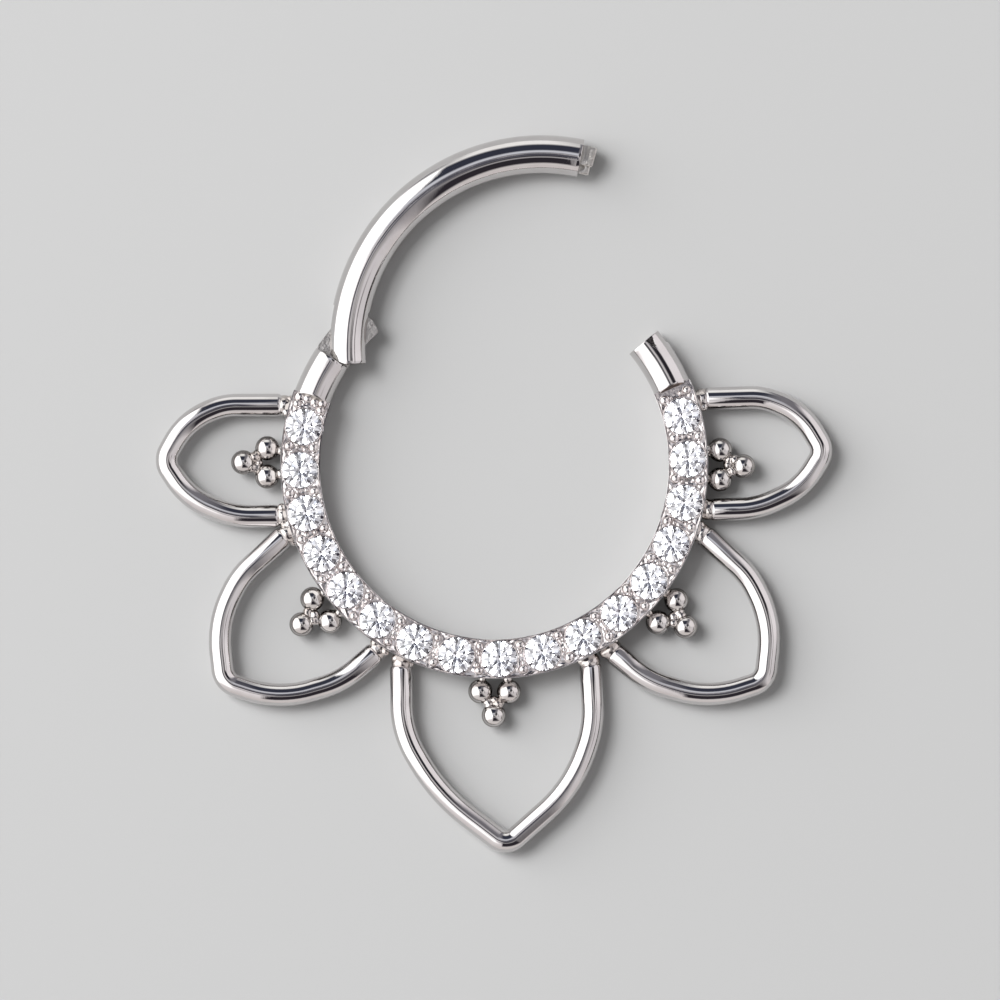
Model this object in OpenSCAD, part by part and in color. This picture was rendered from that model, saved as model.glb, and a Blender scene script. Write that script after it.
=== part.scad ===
// Hinged segment ring for a piercing, with a pavé band, five wire petals and five ball trefoils.
// Units are millimetres. The ring lies flat: its back rests on z = 0 and its stones face +Z.
// The origin is the ring's centre on the resting plane, and the middle petal points to -Y.
// Angles are degrees about +Z, counted from +X.

/* [Ring] */
// Diameter of the round wire of the two stubs and of the gate (16 gauge)
wire_d = 1.2; // [1.16:0.02:1.22]
// Clear diameter inside the closed ring
inner_d = 11; // [10.9:0.1:11.2]
// Width of the pavé band across its rims
band_w = 1.24; // [1.22:0.01:1.28]
// Height of the band's rims above the resting plane
rim_top = 1.08; // [1.06:0.01:1.1]
// Width of each rim
rim_w = 0.04; // [0.03:0.01:0.04]
// Depth of the channel between the rims
channel_depth = 0.06; // [0.04:0.01:0.08]
// Radius of the rounded corners along the band's back
back_round = 0.3; // [0.2:0.05:0.35]
// Span of the pavé channel to each side of its middle
gem_half_span = 112.1; // [111.6:0.1:112.6]

/* [Stones] */
// Number of round stones in the channel
stone_count = 17; // [15:2:17]
// Angle from one stone to the next
stone_pitch = 12.86; // [12.7:0.02:13]
// Diameter of a stone at its girdle
stone_d = 1.12; // [1.04:0.02:1.12]
// Gap between a stone and its seat
stone_gap = 0.015; // [0.01:0.005:0.02]
// Diameter of the grain beads between the stones
grain_d = 0.28; // [0.2:0.02:0.3]
// Distance of the grain beads from the channel's middle line
grain_offset = 0.38; // [0.34:0.01:0.4]

/* [Hinge] */
// Where the stub on the hinge side ends
hinge_cut = 145; // [144.4:0.1:145.2]
// Angle of the hinge pin's place on the ring
pivot_angle = 137; // [136.6:0.1:137.4]
// Distance of the hinge pin from the ring's centre
pivot_r = 6; // [5.98:0.01:6.04]
// Diameter of the hinge pin
pin_d = 0.45; // [0.4:0.05:0.5]
// Thickness of the tongue on the stub
tongue_t = 0.4; // [0.36:0.02:0.44]
// Radius of the tongue's round end about the pin
tongue_r = 0.88; // [0.8:0.02:0.88]
// Angle at which the gate stands open
open_angle = 38.6; // [0:0.2:60]

/* [Catch] */
// Where the stub on the catch side ends
catch_cut = 37.8; // [37.6:0.1:38.4]
// Length of the peg on the gate's free end
peg_length = 0.39; // [0.3:0.01:0.42]
// Thickness of the peg
peg_t = 0.42; // [0.38:0.02:0.5]
// Distance of the peg from the wire's inner and outer edges
peg_margins = [0.12, 0.18]; // [0.1:0.01:0.2]
// Width of the peg's lower step
peg_step_w = 0.28; // [0.2:0.02:0.3]
// How much lower and shorter the step is
peg_step_drop = 0.15; // [0.1:0.01:0.18]

/* [Petals] */
// Diameter of the petals' wire
petal_d = 0.71; // [0.68:0.01:0.74]
// Height of the petals' and trefoils' middle above the resting plane
petal_z = 0.5; // [0.44:0.01:0.54]
// Distance from the ring's centre at which the petals' wire starts
foot_r = 7; // [6.96:0.01:7.04]
// Diameter of the solder necks between the wire and the band
neck_d = 0.56; // [0.5:0.01:0.6]

/* [Trefoils] */
// Diameter of a ball
ball_d = 0.76; // [0.74:0.01:0.78]
// Distance of the two inner balls from the ring's centre
ball_r = 7.13; // [7.12:0.01:7.16]
// Distance between the two inner balls
ball_spacing = 0.92; // [0.9:0.01:0.94]
// How much further out the third ball sits
ball_rise = 0.71; // [0.69:0.01:0.72]
// Diameter of the solder beads that join the balls
solder_d = 0.3; // [0.28:0.01:0.34]

/* [Hidden] */
function two_digits(n) = n < 10 ? str("0", n) : str(n);
stone_names = [for (i = [1:stone_count]) str("stone_", two_digits(i))];

mid_r = inner_d / 2 + wire_d / 2;
wire_z = 0.62;
channel_z = rim_top - channel_depth;
// The middle of the band, where the middle petal is
bottom = -90;
// The band runs a little under the ends of the round stubs
band_lap = 0.8;
// Gap between the gate and what it meets
end_gap = 0.04;
side_gap = 0.02;
pin_gap = 0.02;
pivot = [pivot_r * cos(pivot_angle), pivot_r * sin(pivot_angle)];
// Distance from the pin to the end of the gate's ears, and the round of their outer corner
ear_length = pivot_r * sin(hinge_cut - pivot_angle) - end_gap;
ear_r = ear_length + 0.02;
slot_r = tongue_r + 0.04;
// The pin is set from the back and stays under the polished front
pin_bottom = 0.04;
pin_top = 1.12;
// Reach of the cutting shapes past what they cut
over = 2;

// Proportions of the round brilliant, as parts of its diameter
table_part = 0.29;
crown_part = 0.15;
girdle_part = 0.03;
pavilion_part = 0.43;
// Where the star facets and the lower girdle facets end, as parts of the radius
star_part = 0.785;
lower_part = 0.25;
girdle_top = 1.08;
girdle_bottom = girdle_top - girdle_part * stone_d;

// Petal shapes in the petal's own frame. The feet are places across the petal, and each row of
// bends is [across, outwards from the ring's centre, bend radius].
middle_feet = [-3.1, 2.85];
middle_bends = [
    [-3.15, 8.3, 3.2], [-2.05, 10.3, 6], [0.05, 12, 0.5], [2.2, 10.2, 4.4], [2.9, 8.3, 3.4]
];
side_feet = [-2.05, 2.6];
side_bends = [
    [-2.05, 8.1, 3], [-1.2, 9.95, 3.4], [0.35, 10.9, 0.6], [1.9, 9.85, 3.3], [2.55, 8.35, 2.6]
];
upper_feet = [-1.6, 1.9];
upper_bends = [
    [-1.6, 8.25, 2.8], [-1, 9.65, 2.3], [0.15, 10.4, 0.6], [1.4, 9.7, 2.2], [1.9, 8.5, 2]
];
// One row for each petal: feet, bends, angle of its frame, side (1 or -1), angle of its trefoil
petals = [
    [middle_feet, middle_bends, -90, 1, -91.6],
    [side_feet, side_bends, -42, 1, -41.7],
    [side_feet, side_bends, -141, -1, -141.7],
    [upper_feet, upper_bends, 0, 1, -2],
    [upper_feet, upper_bends, 178.5, -1, 178]
];

// A round wire along a polyline with rounded corners. Rows of the path are [x, y, bend radius].
function place(path, i) = [path[i][0], path[i][1]];
function unit(v) = v / norm(v);
function heading(path, i) = unit(place(path, i + 1) - place(path, i));
function turn(path, i) =
    let (a = heading(path, i - 1), b = heading(path, i))
    atan2(a[0] * b[1] - a[1] * b[0], a * b);
function trim(path, i) =
    i == 0 || i == len(path) - 1 ? 0 : path[i][2] * tan(abs(turn(path, i)) / 2);
function arrive(path, i) = place(path, i) - heading(path, i - 1) * trim(path, i);
function leave(path, i) = place(path, i) + heading(path, i) * trim(path, i);

module rod(a, b, d) {
    translate([a[0], a[1], 0])
        rotate([0, 90, atan2(b[1] - a[1], b[0] - a[0])])
            cylinder(h = norm(b - a), d = d, $fn = 48);
}

module bend(path, i, d) {
    angle = turn(path, i);
    side = sign(angle);
    start = arrive(path, i);
    ahead = heading(path, i - 1);
    centre = start + path[i][2] * side * [-ahead[1], ahead[0]];
    start_angle = atan2(start[1] - centre[1], start[0] - centre[0]);
    translate([centre[0], centre[1], 0])
        rotate([0, 0, min(start_angle, start_angle + angle)])
            rotate_extrude(angle = abs(angle), $fn = 72)
                translate([path[i][2], 0])
                    circle(d = d, $fn = 48);
}

// The straight stretches end just short of the bends, and a sleeve a hair wider joins the two.
module bent_wire(path, d) {
    short = 0.01;
    sleeve = 0.03;
    last = len(path) - 1;
    for (i = [0:last - 1]) {
        ahead = heading(path, i);
        a = leave(path, i);
        b = arrive(path, i + 1);
        rod(a + ahead * (i == 0 ? 0 : short), b - ahead * (i == last - 1 ? 0 : short), d);
        if (i > 0) rod(a - ahead * sleeve, a + ahead * sleeve, d + 0.01);
        if (i < last - 1) rod(b - ahead * sleeve, b + ahead * sleeve, d + 0.01);
    }
    for (i = [1:last - 1]) bend(path, i, d);
}

function foot(across, r) = [sqrt(r * r - across * across), across];
function petal_path(feet, bends, side) = concat(
    [[foot(feet[0], foot_r)[0], side * feet[0], 0]],
    [for (b = bends) [b[1], side * b[0], b[2]]],
    [[foot(feet[1], foot_r)[0], side * feet[1], 0]]
);

module petal(feet, bends, side) {
    in_band = mid_r + band_w / 4;
    in_wire = 0.2;
    bent_wire(petal_path(feet, bends, side), petal_d);
    for (across = feet) {
        a = foot(side * across, in_band);
        b = foot(side * across, foot_r);
        rod([a[0], b[1]], b + [in_wire, 0], neck_d);
    }
}

module trefoil() {
    inner_out = sqrt(ball_r * ball_r - ball_spacing * ball_spacing / 4);
    third = [inner_out + ball_rise, 0];
    translate([third[0], 0, 0]) sphere(d = ball_d, $fn = 48);
    for (side = [-1, 1]) {
        ball = [inner_out, side * ball_spacing / 2];
        joint = (ball + third) / 2;
        translate([ball[0], ball[1], 0]) sphere(d = ball_d, $fn = 48);
        translate([joint[0], joint[1], 0]) sphere(d = solder_d, $fn = 32);
        rod(unit(ball) * (mid_r + band_w / 4), ball, solder_d);
    }
}

// An arc of the ring's round wire, with its section drawn by the child.
module ring_arc(from, to) {
    rotate([0, 0, from])
        rotate_extrude(angle = to - from, $fn = 240)
            translate([mid_r, wire_z])
                children();
}

module wire_section(d) {
    circle(d = d, $fn = 64);
}

// A flat slab of the wire's section, for the tongue
module tongue_section() {
    intersection() {
        circle(d = wire_d - 0.04, $fn = 64);
        square([2 * wire_d, tongue_t], center = true);
    }
}

module band_section() {
    inside = band_w - 2 * back_round;
    translate([mid_r, 0]) {
        translate([-band_w / 2, back_round]) square([band_w, channel_z - back_round]);
        translate([-inside / 2, 0]) square([inside, back_round * 2]);
        for (side = [-1, 1]) {
            translate([side * inside / 2, back_round]) circle(r = back_round, $fn = 48);
            translate([side * (band_w - rim_w) / 2 - rim_w / 2, channel_z / 2])
                square([rim_w, rim_top - channel_z / 2]);
        }
    }
}

module on_channel(angle, out = 0) {
    rotate([0, 0, bottom + angle]) translate([mid_r + out, 0, 0]) children();
}

module stone_seat() {
    seat_d = stone_d + 2 * stone_gap;
    depth = pavilion_part * stone_d + stone_gap;
    rim_z = girdle_bottom - 0.01;
    translate([0, 0, rim_z]) cylinder(h = over, d = seat_d, $fn = 48);
    translate([0, 0, rim_z - depth]) cylinder(h = depth + 0.001, d1 = 0.06, d2 = seat_d, $fn = 48);
}

module pave_band() {
    half = (stone_count - 1) / 2;
    difference() {
        rotate([0, 0, bottom - gem_half_span - band_lap])
            rotate_extrude(angle = 2 * (gem_half_span + band_lap), $fn = 240)
                band_section();
        for (i = [-half:half]) on_channel(i * stone_pitch) stone_seat();
    }
    for (i = [-half - 0.5:half + 0.5])
        for (side = [-1, 1])
            on_channel(i * stone_pitch, side * grain_offset)
                translate([0, 0, channel_z + 0.01])
                    sphere(d = grain_d, $fn = 32);
}

module at_pivot() {
    translate([pivot[0], pivot[1], 0]) children();
}

// The stub with the tongue, round about the pin, that the gate's ears straddle
module hinge_stub() {
    ring_arc(hinge_cut, bottom - gem_half_span + 360) wire_section(wire_d);
    difference() {
        union() {
            ring_arc(pivot_angle, hinge_cut + 1) tongue_section();
            intersection() {
                ring_arc(pivot_angle - 12, pivot_angle + 0.5) tongue_section();
                at_pivot() cylinder(h = over, r = tongue_r, $fn = 96);
            }
        }
        at_pivot() cylinder(h = over, d = pin_d + pin_gap, $fn = 48);
    }
}

// The stub with the slot that takes the gate's peg, open towards the outside for its swing
module catch_stub() {
    slot_t = peg_t + 3 * side_gap;
    depth = (peg_length + end_gap) / mid_r * 180 / PI;
    difference() {
        ring_arc(bottom + gem_half_span, catch_cut) wire_section(wire_d);
        ring_arc(catch_cut - depth, catch_cut + 1)
            translate([-wire_d / 2 + peg_margins[0] - 0.03, -slot_t / 2])
                square([wire_d, slot_t]);
    }
}

module ring_frame() {
    color("gainsboro") {
        pave_band();
        hinge_stub();
        catch_stub();
        translate([0, 0, petal_z])
            for (p = petals) {
                rotate([0, 0, p[2]]) petal(p[0], p[1], p[3]);
                rotate([0, 0, p[4]]) trefoil();
            }
    }
}

// The peg: a tall part and, towards the ring's inside, a lower and shorter step
module catch_peg() {
    tip = (peg_length - end_gap) / mid_r * 180 / PI;
    step_tip = tip * 0.85;
    low = -wire_d / 2 + peg_margins[0];
    high = wire_d / 2 - peg_margins[1];
    ring_arc(catch_cut - tip, catch_cut + 1)
        translate([low + peg_step_w, -peg_t / 2])
            square([high - low - peg_step_w, peg_t]);
    ring_arc(catch_cut - step_tip, catch_cut + 1.2)
        translate([low, -peg_t / 2 + 0.01])
            square([peg_step_w + 0.1, peg_t - peg_step_drop]);
}

// Cuts the slot between the ears. Its frame is at the pin, with +X towards the hinge stub.
module ear_slot() {
    slot_t = tongue_t + 2 * side_gap;
    translate([0, 0, wire_z - slot_t / 2]) {
        cylinder(h = slot_t, r = slot_r, $fn = 96);
        translate([0, -over, 0]) cube([over, 2 * over, slot_t]);
    }
}

// Rounds the ears' outer corner, so that it clears the stub as the gate swings
module ear_round() {
    difference() {
        translate([0.1, -over, -over]) cube([over, over, 3 * over]);
        translate([0, 0, -2 * over]) cylinder(h = 5 * over, r = ear_r, $fn = 96);
    }
}

module closed_gate() {
    end_angle = end_gap / mid_r * 180 / PI;
    difference() {
        union() {
            ring_arc(catch_cut + end_angle, hinge_cut - end_angle) wire_section(wire_d);
            catch_peg();
        }
        at_pivot() rotate([0, 0, hinge_cut + 90]) ear_slot();
        at_pivot() rotate([0, 0, hinge_cut + 90]) ear_round();
        at_pivot() translate([0, 0, -over])
            cylinder(h = over + pin_top + pin_gap, d = pin_d + 2 * pin_gap, $fn = 48);
    }
}

module hinged_gate() {
    color("gainsboro")
        at_pivot() rotate([0, 0, open_angle]) translate([-pivot[0], -pivot[1], 0]) closed_gate();
}

module hinge_pin() {
    color("silver")
        at_pivot() translate([0, 0, pin_bottom]) cylinder(h = pin_top - pin_bottom, d = pin_d, $fn = 48);
}

// A round brilliant: rings of points from the table down to the culet, and the facets between them
function ring_points(r, z, count, first) =
    [for (i = [0:count - 1]) [r * cos(first + i * 360 / count), r * sin(first + i * 360 / count), z]];

module brilliant() {
    r = stone_d / 2;
    table_r = table_part * stone_d;
    star_r = star_part * r;
    lower_r = lower_part * r;
    table_z = girdle_top + crown_part * stone_d;
    culet_z = girdle_bottom - pavilion_part * stone_d;
    // Heights at which the kite facets of the crown and of the pavilion are flat
    star_z = table_z + (girdle_top - table_z) * (star_r * cos(22.5) - table_r) / (r - table_r);
    lower_z = culet_z + (girdle_bottom - culet_z) * lower_r * cos(22.5) / r;
    points = concat(
        ring_points(table_r, table_z, 8, 0),
        ring_points(star_r, star_z, 8, 22.5),
        ring_points(r, girdle_top, 16, 0),
        ring_points(r, girdle_bottom, 16, 0),
        ring_points(lower_r, lower_z, 8, 22.5),
        [[0, 0, culet_z]]
    );
    table = 0;
    star = 8;
    upper = 16;
    under = 32;
    lower = 48;
    culet = 56;
    facets = concat(
        [[for (i = [7:-1:0]) table + i]],
        [for (i = [0:7]) [table + i, table + (i + 1) % 8, star + i]],
        [for (i = [0:7]) [table + i, star + i, upper + 2 * i, star + (i + 7) % 8]],
        [for (i = [0:7]) [star + i, upper + 2 * i + 1, upper + 2 * i]],
        [for (i = [0:7]) [star + i, upper + (2 * i + 2) % 16, upper + 2 * i + 1]],
        [for (i = [0:15]) [upper + i, upper + (i + 1) % 16, under + (i + 1) % 16, under + i]],
        [for (i = [0:7]) [lower + i, under + 2 * i, under + 2 * i + 1]],
        [for (i = [0:7]) [lower + i, under + 2 * i + 1, under + (2 * i + 2) % 16]],
        [for (i = [0:7]) [culet, lower + (i + 7) % 8, under + 2 * i, lower + i]]
    );
    polyhedron(points = points, faces = facets);
}

module stone(number) {
    color("white", 0.6)
        on_channel((number - (stone_count + 1) / 2) * stone_pitch)
            brilliant();
}

ring_frame();
hinged_gate();
hinge_pin();
for (i = [1:stone_count]) stone(i);
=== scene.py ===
"""Clicker ring: a hinged segment ring with a pavé band, wire petals and ball trefoils.

All sizes in the classes are millimetres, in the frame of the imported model: the ring lies on its
back on z = 0, its stones face +Z and its middle petal points to -Y. A mesh is made in millimetres
and scaled to metres as it is finished.
"""

import logging
import math
import random
from collections.abc import Iterable
from dataclasses import dataclass, field
from enum import Enum
from typing import ClassVar

import bmesh
import bpy
from bmesh.types import BMEdge, BMesh, BMFace, BMVert
from bpy.types import Material, Node, NodeSocket, NodeTree
from mathutils import Matrix, Vector


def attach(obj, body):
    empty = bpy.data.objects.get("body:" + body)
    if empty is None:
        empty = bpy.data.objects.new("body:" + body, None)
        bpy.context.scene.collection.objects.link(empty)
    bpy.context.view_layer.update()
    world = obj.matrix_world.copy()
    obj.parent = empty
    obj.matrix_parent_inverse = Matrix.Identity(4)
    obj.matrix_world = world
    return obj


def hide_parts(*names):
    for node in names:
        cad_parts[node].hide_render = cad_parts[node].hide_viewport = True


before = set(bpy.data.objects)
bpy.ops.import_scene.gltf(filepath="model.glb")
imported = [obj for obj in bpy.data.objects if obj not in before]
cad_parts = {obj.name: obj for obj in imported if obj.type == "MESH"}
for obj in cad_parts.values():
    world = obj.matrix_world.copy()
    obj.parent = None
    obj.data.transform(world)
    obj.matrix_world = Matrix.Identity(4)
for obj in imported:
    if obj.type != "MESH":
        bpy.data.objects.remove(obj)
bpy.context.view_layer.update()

LOG = logging.getLogger("clicker_ring")
METRES = 0.001

Pair = tuple[float, float]
Triple = tuple[float, float, float]
Drops = list[tuple[Vector, float]]  # the middles and radii of drops of metal
Ring = tuple[list[BMVert], list[BMEdge]]
UP = Vector((0.0, 0.0, 1.0))
ORIGIN = Vector()
UPRIGHT = Matrix.Rotation(math.pi / 2, 4, "X")


class Body(Enum):
    """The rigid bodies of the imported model."""

    RING = "body"
    GATE = "gate"


class Slot(Enum):
    """The record's material slot of the new pieces."""

    METAL = "polished_metal"


def polar(radius: float, angle: float, z: float = 0.0) -> Vector:
    """Returns the point at a radius and an angle in degrees about the ring's axis."""
    a = math.radians(angle)
    return Vector((radius * math.cos(a), radius * math.sin(a), z))


def turn_z(angle: float) -> Matrix:
    """Returns the turn by an angle in degrees about +Z."""
    return Matrix.Rotation(math.radians(angle), 4, "Z")


def angle_of(at: Vector) -> float:
    """Returns a point's angle in degrees about the ring's axis."""
    return math.degrees(math.atan2(at.y, at.x))


def tangent(at: Vector) -> Vector:
    """Returns the direction along the ring at a point."""
    return polar(1.0, angle_of(at) + 90)


def add_object(name: str, data: bpy.types.ID) -> bpy.types.Object:
    """Adds an object to the scene."""
    made = bpy.data.objects.new(name, data)
    bpy.context.scene.collection.objects.link(made)
    return made


def verts_in(geom: Iterable) -> list[BMVert]:
    """Returns the vertices among some geometry."""
    return [e for e in geom if isinstance(e, BMVert)]


def edges_at(verts: Iterable[BMVert]) -> list[BMEdge]:
    """Returns the edges that meet some vertices, each once and in a fixed order."""
    return list(dict.fromkeys(e for v in verts for e in v.link_edges))


# ---------------------------------------------------------------- finishes


class Graph:
    """A node tree with short calls for the nodes that the finishes use."""

    def __init__(self, tree: NodeTree) -> None:
        """Takes the node tree to add to."""
        self.tree = tree

    def node(self, kind: str, **values: object) -> Node:
        """Adds a node.

        Args:
            kind: The node's type name.
            **values: Properties of the node.

        Returns:
            The new node.
        """
        made = self.tree.nodes.new(kind)
        for key, value in values.items():
            setattr(made, key, value)
        return made

    def feed(self, socket: NodeSocket, value: object) -> None:
        """Links a socket to another, or sets its value."""
        if isinstance(value, NodeSocket):
            self.tree.links.new(value, socket)
        else:
            socket.default_value = value

    def maths(self, operation: str, *values: object, clamp: bool = False) -> NodeSocket:
        """Adds a Math node.

        Args:
            operation: The node's operation.
            *values: Numbers or sockets for its inputs.
            clamp: True to keep the result in 0 to 1.

        Returns:
            The result's socket.
        """
        made = self.node("ShaderNodeMath", operation=operation, use_clamp=clamp)
        for socket, value in zip(made.inputs, values):
            self.feed(socket, value)
        return made.outputs[0]

    def fill(self, node: Node, values: dict[str, object]) -> None:
        """Feeds several inputs of a node by their names."""
        for name, value in values.items():
            self.feed(node.inputs[name], value)

    def step(self, value: object, low: object, high: object) -> NodeSocket:
        """Returns a smooth step from 0 at low to 1 at high."""
        made = self.node("ShaderNodeMapRange", interpolation_type="SMOOTHSTEP")
        self.fill(made, {"Value": value, "From Min": low, "From Max": high})
        return made.outputs[0]

    def dot(self, vector: object, other: Triple) -> NodeSocket:
        """Returns the dot product of a vector's socket and a fixed vector."""
        made = self.node("ShaderNodeVectorMath", operation="DOT_PRODUCT")
        self.feed(made.inputs[0], vector)
        made.inputs[1].default_value = other
        return made.outputs["Value"]

    def mix(self, factor: object, a: object, b: object) -> NodeSocket:
        """Returns colour a mixed with colour b by a factor."""
        made = self.node("ShaderNodeMix", data_type="RGBA")
        self.feed(made.inputs["Factor"], factor)
        self.feed(made.inputs[6], a)
        self.feed(made.inputs[7], b)
        return made.outputs[2]

    def coords(self) -> NodeSocket:
        """Returns the Object coordinates."""
        return self.node("ShaderNodeTexCoord").outputs["Object"]

    def noise(self, scale: object, detail: float, coords: object) -> NodeSocket:
        """Returns a noise texture's value, at a scale per metre, on the given coordinates."""
        made = self.node("ShaderNodeTexNoise")
        self.fill(made, {"Scale": scale, "Detail": detail, "Vector": coords})
        return made.outputs["Fac"]


HAIR_SCALE = (9000.0, 2500.0, 9000.0)
HAIR_TURN = (0.3, 0.2, 0.7)
HAIR_HEIGHT = 0.04
PATCH_SCALE = 1400.0


def polish_marks() -> NodeTree:
    """Builds the group for hand polished metal: slow waves, fine hairlines and cloudy patches.

    Returns:
        The node group, with Waves and Wave Scale in, and Height and Patches out.
    """
    name = "Polish marks"
    if name in bpy.data.node_groups:
        return bpy.data.node_groups[name]
    tree = bpy.data.node_groups.new(name, "ShaderNodeTree")
    for label, value in (("Waves", 1.0), ("Wave Scale", 900.0)):
        socket = tree.interface.new_socket(label, in_out="INPUT", socket_type="NodeSocketFloat")
        socket.default_value = value
    for label in ("Height", "Patches"):
        tree.interface.new_socket(label, in_out="OUTPUT", socket_type="NodeSocketFloat")
    g = Graph(tree)
    given = g.node("NodeGroupInput").outputs
    coords = g.coords()
    stretch = g.node("ShaderNodeMapping")
    g.fill(stretch, {"Vector": coords, "Scale": HAIR_SCALE, "Rotation": HAIR_TURN})
    waves = g.maths("MULTIPLY", g.noise(given["Wave Scale"], 1.0, coords), given["Waves"])
    hair = g.maths("MULTIPLY", g.noise(1.0, 3.0, stretch.outputs["Vector"]), HAIR_HEIGHT)
    patches = g.step(g.noise(PATCH_SCALE, 3.0, coords), 0.35, 0.7)
    out = g.node("NodeGroupOutput")
    g.fill(out, {"Height": g.maths("ADD", waves, hair), "Patches": patches})
    return tree


@dataclass(frozen=True)
class Finish:
    """A finish, whose material is built once."""

    name: str
    colour: Triple
    shown_alpha: ClassVar[float] = 1.0

    def dress(self, g: Graph, shader: Node) -> None:
        """Sets the material's nodes."""
        raise NotImplementedError

    def material(self) -> Material:
        """Builds the material once and returns it."""
        if self.name in bpy.data.materials:
            return bpy.data.materials[self.name]
        made = bpy.data.materials.new(self.name)
        made.use_nodes = True
        made.diffuse_color = (*self.colour, self.shown_alpha)
        self.dress(Graph(made.node_tree), made.node_tree.nodes["Principled BSDF"])
        return made


@dataclass(frozen=True)
class MetalFinish(Finish):
    """A polished or worked metal surface, optionally with painted shade below a height."""

    stain: Triple
    roughness: float
    roughness_spread: float
    waves: float
    wave_scale: float
    bump: float
    painted_shade_below: float = 0.0
    # the colour of the painted shade below the given height
    painted_shade: ClassVar[tuple[float, ...]] = (0.2, 0.18, 0.17, 1.0)
    painted_shade_fade: ClassVar[float] = 0.86

    def dress(self, g: Graph, shader: Node) -> None:
        """Sets the stains, the roughness and the polish marks."""
        marks = g.node("ShaderNodeGroup", node_tree=polish_marks())
        g.fill(marks, {"Waves": self.waves, "Wave Scale": self.wave_scale})
        patches = marks.outputs["Patches"]
        colour = g.mix(patches, (*self.colour, 1.0), (*self.stain, 1.0))
        # painted shade: the colour darkens below this height, standing in for the shadowed floor
        # that low rims reflect
        if self.painted_shade_below:
            top = self.painted_shade_below * METRES
            height = g.dot(g.coords(), (0.0, 0.0, 1.0))
            colour = g.mix(g.step(height, self.painted_shade_fade * top, top), self.painted_shade, colour)
        spread = g.maths("MULTIPLY", patches, self.roughness_spread)
        bump = g.node("ShaderNodeBump")
        g.fill(bump, {
            "Strength": 1.0, "Distance": self.bump * METRES, "Height": marks.outputs["Height"],
        })
        g.fill(shader, {
            "Metallic": 1.0, "Base Color": colour, "Normal": bump.outputs["Normal"],
            "Roughness": g.maths("ADD", spread, self.roughness),
        })


@dataclass(frozen=True)
class StoneFinish(Finish):
    """A clear cut stone of high refraction."""

    name: str = "brilliant_cut_stone"
    colour: Triple = (0.97, 0.98, 1.0)
    cool: Triple = (0.93, 0.95, 1.0)
    refraction: float = 2.16
    haze: float = 0.012
    cloud_scale: float = 1500.0
    shown_alpha: ClassVar[float] = 0.6

    def dress(self, g: Graph, shader: Node) -> None:
        """Sets the clear body with its faint clouds."""
        tone = g.step(g.noise(self.cloud_scale, 2.0, g.coords()), 0.3, 0.8)
        g.fill(shader, {
            "Metallic": 0.0, "Transmission Weight": 1.0, "IOR": self.refraction,
            "Base Color": g.mix(tone, (*self.colour, 1.0), (*self.cool, 1.0)),
            "Roughness": g.maths("MULTIPLY", tone, self.haze),
        })


@dataclass(frozen=True)
class FloorFinish(Finish):
    """A plain pale matt floor."""

    name: str = "pale_floor"
    colour: Triple = (0.6, 0.6, 0.6)
    roughness: float = 0.9
    gloss: float = 0.1

    def dress(self, g: Graph, shader: Node) -> None:
        """Sets the plain colour."""
        g.fill(shader, {
            "Base Color": (*self.colour, 1.0), "Roughness": self.roughness,
            "Specular IOR Level": self.gloss,
        })


MIRROR = MetalFinish(
    "mirror_polish", (0.665, 0.645, 0.64), (0.63, 0.605, 0.6), 0.03, 0.04, 1.0, 700.0, 0.012
)
SOLDER = MetalFinish(
    "solder", (0.70, 0.67, 0.65), (0.54, 0.49, 0.46), 0.07, 0.10, 1.0, 5000.0, 0.03
)
GRAIN = MetalFinish(
    "grain_beads", (0.80, 0.76, 0.75), (0.66, 0.61, 0.6), 0.06, 0.08, 1.0, 4000.0, 0.012
)
CUT_METAL = MetalFinish(
    "bright_cut", (0.84, 0.80, 0.79), (0.66, 0.61, 0.6), 0.10, 0.12, 1.0, 5000.0, 0.015
)
# the balls' lower parts get painted shade, for the shadowed floor that their rims reflect
BALL = MetalFinish(
    "ball_polish", (0.665, 0.645, 0.63), (0.62, 0.59, 0.57), 0.03, 0.04, 1.0, 2500.0, 0.012,
    painted_shade_below=0.72,
)
MACHINED = MetalFinish(
    "machined_steel", (0.66, 0.64, 0.61), (0.52, 0.5, 0.47), 0.32, 0.12, 0.6, 9000.0, 0.03
)
# machined steel with painted shade: darker for the shade the tongue lies in beside the gate's ears
TONGUE_SHADE = MetalFinish(
    "tongue_steel", (0.44, 0.425, 0.415), (0.345, 0.33, 0.32), 0.32, 0.12, 0.6, 9000.0, 0.03
)
# painted shade on the catch stub's slanted end face, which lies in shadow over the channel
END_FACE_SHADE = MetalFinish(
    "dark_recess", (0.3, 0.25, 0.225), (0.2, 0.16, 0.14), 0.28, 0.15, 0.6, 7000.0, 0.02
)
# painted shade in the notch pressed into the catch side's cut end
NOTCH_SHADE = MetalFinish(
    "worn_notch", (0.13, 0.12, 0.12), (0.08, 0.075, 0.07), 0.25, 0.12, 0.6, 9000.0, 0.02
)
SATIN = MetalFinish(
    "drawn_pin", (0.62, 0.61, 0.6), (0.56, 0.55, 0.54), 0.22, 0.10, 0.6, 3000.0, 0.01
)
STONE = StoneFinish()
FLOOR = FloorFinish()


# ---------------------------------------------------------------- meshes


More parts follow.
